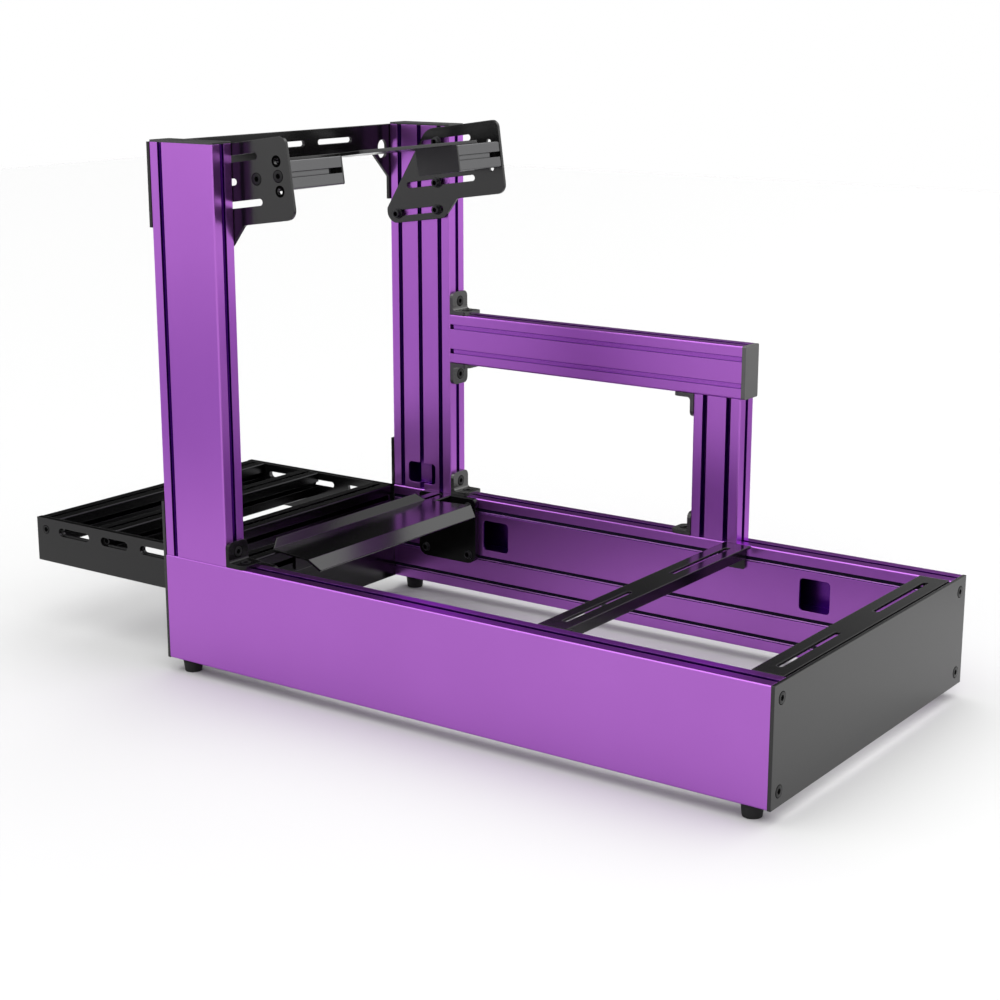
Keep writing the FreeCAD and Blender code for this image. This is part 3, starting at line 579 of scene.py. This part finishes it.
def wheel_deck_screws():
    outer = edge_of("wheel_side_plate_right", HIGH, Y)
    inner = edge_of("wheel_side_plate_right", LOW, Y)
    bar = [(deck_point(along, 0, sign * outer), (0, sign, 0))
           for sign in (-1, 1) for along in (-HALF_MODULE, HALF_MODULE)]
    flush_screws("wheel_bar_screws", bar, PLATE_HEAD)
    caps = [((x, sign * inner, z), (0, -sign, 0)) for sign in (-1, 1)
            for x, z in WHEEL_PLATE_CAPS]
    cap_screws("wheel_plate_screws", caps)


# Countersinks round the open holes of the wheel side plates: flat rings painted dark as the
# shade of a cone
def countersinks():
    outer = edge_of("wheel_side_plate_right", HIGH, Y)
    mesh = bmesh.new()
    for sign in (-1, 1):
        for across in (-OPEN_HOLES, OPEN_HOLES):
            place = facing(deck_point(HALF_MODULE, across, sign * outer), (0, sign, 0))
            turn(mesh, COUNTERSINK, place, closed=False)
    add_piece("wheel_plate_countersinks", mesh, ["socket"])


# Seat crossmembers and heel side plates: screws into the rails' slots
def ear_screws():
    places = []
    slot = edge_of("base_rail_left", HIGH, Z) - HALF_MODULE * MM
    for node in ("seat_crossmember_middle", "seat_crossmember_rear"):
        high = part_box(node)[HIGH]
        for sign in (-1, 1):
            places.append(((high.x - EAR_INSET * MM, sign * (high.y - EAR_SHEET * MM), slot),
                           (0, -sign, 0)))
    low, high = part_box("heel_side_plate_right")
    for x in (low.x + HEEL_INSET * MM, high.x - HEEL_FAR_INSET * MM):
        for z in (low.z + HEEL_INSET * MM, high.z - HEEL_FAR_INSET * MM):
            places += [((x, sign * low.y, z), (0, -sign, 0)) for sign in (-1, 1)]
    cap_screws("ear_screws", places, EAR_HEAD, EAR_HEAD_HEIGHT)


# Strip along X from one corner to the other
def add_strip(mesh, low, high, material_index):
    corners = [mesh.verts.new((x, y, z)) for x in (low[X], high[X]) for y in (low[Y], high[Y])
               for z in (low[Z], high[Z])]
    for indices in STRIP_FACES:
        face = mesh.faces.new([corners[i] for i in indices])
        face.material_index = material_index


# Inside slots of the base rails: a dark sheet as painted shade, with a strip for the slot's
# lower lip, painted lighter as its highlight, standing on it
def slot_shade_sheets():
    for side, sign in (("left", -1), ("right", 1)):
        node = "rail_slot_covers_" + side
        low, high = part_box(node)
        outer = high.y if sign > 0 else low.y
        floor = outer - sign * SHADE_SHEET_THICK * MM
        lip_highlight = floor - sign * LIP_DEPTH * MM
        mesh = bmesh.new()
        for module in RAIL_SLOTS:
            base = low.z + module * MODULE * MM
            top = base + SHADE_SHEET_HEIGHT * MM
            add_strip(mesh, (low.x, floor, base), (high.x, outer, top), 0)
            add_strip(mesh, (low.x, lip_highlight, base + LIP_FROM * MM),
                      (high.x, floor, base + LIP_TO * MM), 1)
        shade_sheet = add_piece("rail_slot_shade_sheet_" + side, mesh, ["shade_sheet", "lip_highlight"])
        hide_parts(node)


def feet():
    for node in FINISH["rubber"]:
        low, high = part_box(node)
        mesh = bmesh.new()
        turn(mesh, FOOT, Matrix.Translation(((low.x + high.x) / 2, (low.y + high.y) / 2, 0)))
        foot = add_piece(node + "_turned", mesh, ["rubber"])
        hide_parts(node)


def floor_material():
    material, surface = shader("floor_white", 0.0, FLOOR_ROUGH, FLOOR_SHINE)
    tree = material.node_tree
    place = tree.nodes.new("ShaderNodeTexCoord").outputs["Object"]
    seen = tree.nodes.new("ShaderNodeLightPath").outputs["Is Camera Ray"]
    colour = (FLOOR_WHITE, FLOOR_WHITE, FLOOR_WHITE, 1)
    for middle, inner, outer, shares in FLOOR_SHADES:
        away = measure(tree, "DISTANCE", place, middle)
        fade = map_range(tree, away, (inner, outer), smooth=True)
        shaded = [share * FLOOR_WHITE for share in shares] + [1]
        colour = mix_colours(tree, combine(tree, "MAXIMUM", fade, seen), shaded, colour)
    tree.links.new(colour, surface.inputs["Base Color"])
    return material


def add_floor():
    mesh = bmesh.new()
    bmesh.ops.create_grid(mesh, x_segments=1, y_segments=1, size=FLOOR_HALF)
    data = bpy.data.meshes.new("floor")
    mesh.to_mesh(data)
    mesh.free()
    floor = bpy.data.objects.new("floor", data)
    SCENE.collection.objects.link(floor)
    data.materials.append(floor_material())


# Direction by its turn from -Y towards +X and its rise, in degrees
def direction(azimuth, elevation):
    turned = math.radians(azimuth)
    rise = math.radians(elevation)
    return Vector((math.sin(turned) * math.cos(rise), -math.cos(turned) * math.cos(rise),
                   math.sin(rise)))


# The room is white to the camera, and lights the object by the direction a ray leaves in
def add_room():
    world = bpy.data.worlds.new("studio")
    world.use_nodes = True
    SCENE.world = world
    tree = world.node_tree
    place = tree.nodes.new("ShaderNodeTexCoord").outputs["Generated"]
    towards = measure(tree, "DOT_PRODUCT", place, Vector(DARK_SIDE).normalized())
    fade = map_range(tree, towards, DARK_RANGE, (1.0, 0.0))
    split = tree.nodes.new("ShaderNodeSeparateXYZ")
    tree.links.new(place, split.inputs["Vector"])
    ceiling = map_range(tree, split.outputs["Z"], CEILING_RANGE, (ROOM_BRIGHT, CEILING_BRIGHT),
                        smooth=True)
    glow = tree.nodes["Background"]
    glow.inputs["Color"].default_value = WHITE
    plain = tree.nodes.new("ShaderNodeBackground")
    plain.inputs["Color"].default_value = WHITE
    ray = tree.nodes.new("ShaderNodeLightPath")
    mix = tree.nodes.new("ShaderNodeMixShader")
    tree.links.new(combine(tree, "MULTIPLY", fade, ceiling), glow.inputs["Strength"])
    tree.links.new(ray.outputs["Is Camera Ray"], mix.inputs["Fac"])
    tree.links.new(glow.outputs["Background"], mix.inputs[1])
    tree.links.new(plain.outputs["Background"], mix.inputs[2])
    tree.links.new(mix.outputs["Shader"], tree.nodes["World Output"].inputs["Surface"])
    SCENE.view_settings.view_transform = "Standard"


# Soft light from behind the object, so that its shadow falls towards the camera
def add_sun():
    data = bpy.data.lights.new("sun", "SUN")
    data.energy = SUN_POWER
    data.angle = math.radians(SUN_WIDTH)
    light = bpy.data.objects.new("sun", data)
    light.rotation_mode = "QUATERNION"
    light.rotation_quaternion = direction(SUN_AZIMUTH, SUN_ELEVATION).to_track_quat("Z", "Y")
    light.visible_glossy = False
    SCENE.collection.objects.link(light)


def add_camera():
    data = bpy.data.cameras.new("camera")
    data.sensor_width = CAMERA_SENSOR
    data.lens = CAMERA_LENS
    camera = bpy.data.objects.new("camera", data)
    camera.location = CAMERA_PLACE
    back = direction(CAMERA_AZIMUTH, CAMERA_ELEVATION)
    camera.rotation_mode = "QUATERNION"
    camera.rotation_quaternion = (-back).to_track_quat("-Z", "Y")
    SCENE.collection.objects.link(camera)
    SCENE.camera = camera


dress_nodes()
bracket_screws()
end_plate_screws()
pedal_deck_screws()
wheel_deck_screws()
countersinks()
ear_screws()
slot_shade_sheets()
feet()
add_floor()
add_room()
add_sun()
add_camera()
